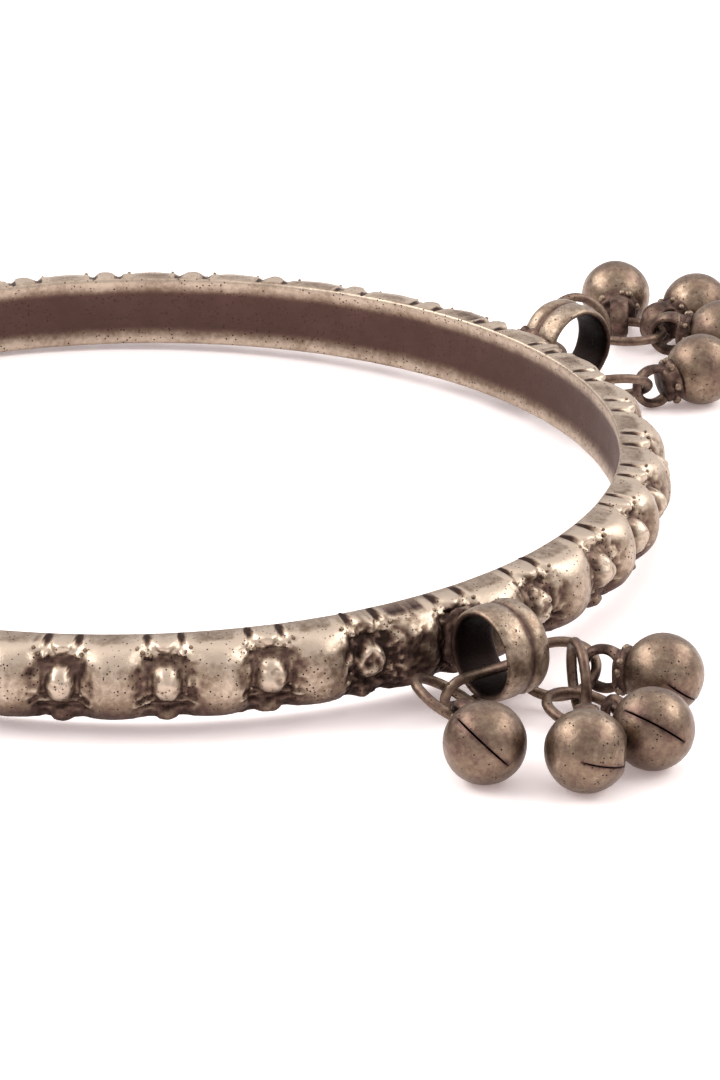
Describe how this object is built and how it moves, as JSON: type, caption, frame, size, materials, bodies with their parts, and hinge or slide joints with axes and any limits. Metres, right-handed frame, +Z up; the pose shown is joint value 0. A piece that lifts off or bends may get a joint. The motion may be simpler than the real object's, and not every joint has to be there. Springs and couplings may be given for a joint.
{
  "type": "bell bracelet",
  "caption": "Closed cast bangle of barrel lobes and beaded ornaments, with clusters of small slit bells hung from two tube bails.",
  "frame": {"origin": "middle of the whole box, on the surface that the bracelet lies on", "axes": "+Z up from that surface; -Y towards the side that the picture was taken from"},
  "size_m": [0.0782, 0.0836, 0.007],
  "materials": {
    "band_metal": "cast, darkened with age, worn bright on the high points",
    "ring_metal": "drawn wire, darkened",
    "bell_metal": "cast, darkened, worn",
    "pellet_metal": "plain"
  },
  "bodies": {
    "root": {"bangle": "band_metal", "link_front": "ring_metal", "ring_front_bell": "ring_metal", "ring_front_upper": "ring_metal", "ring_front_middle": "ring_metal", "ring_front_lower": "ring_metal", "bell_front_1": "bell_metal", "bell_front_2": "bell_metal", "bell_front_3": "bell_metal", "bell_front_4": "bell_metal", "pellet_front_1": "pellet_metal", "pellet_front_2": "pellet_metal", "pellet_front_3": "pellet_metal", "pellet_front_4": "pellet_metal", "link_back": "ring_metal", "ring_back_bell": "ring_metal", "ring_back_upper": "ring_metal", "ring_back_middle": "ring_metal", "ring_back_lower": "ring_metal", "bell_back_1": "bell_metal", "bell_back_2": "bell_metal", "bell_back_3": "bell_metal", "bell_back_4": "bell_metal", "pellet_back_1": "pellet_metal", "pellet_back_2": "pellet_metal", "pellet_back_3": "pellet_metal", "pellet_back_4": "pellet_metal"}
  },
  "joints": []
}
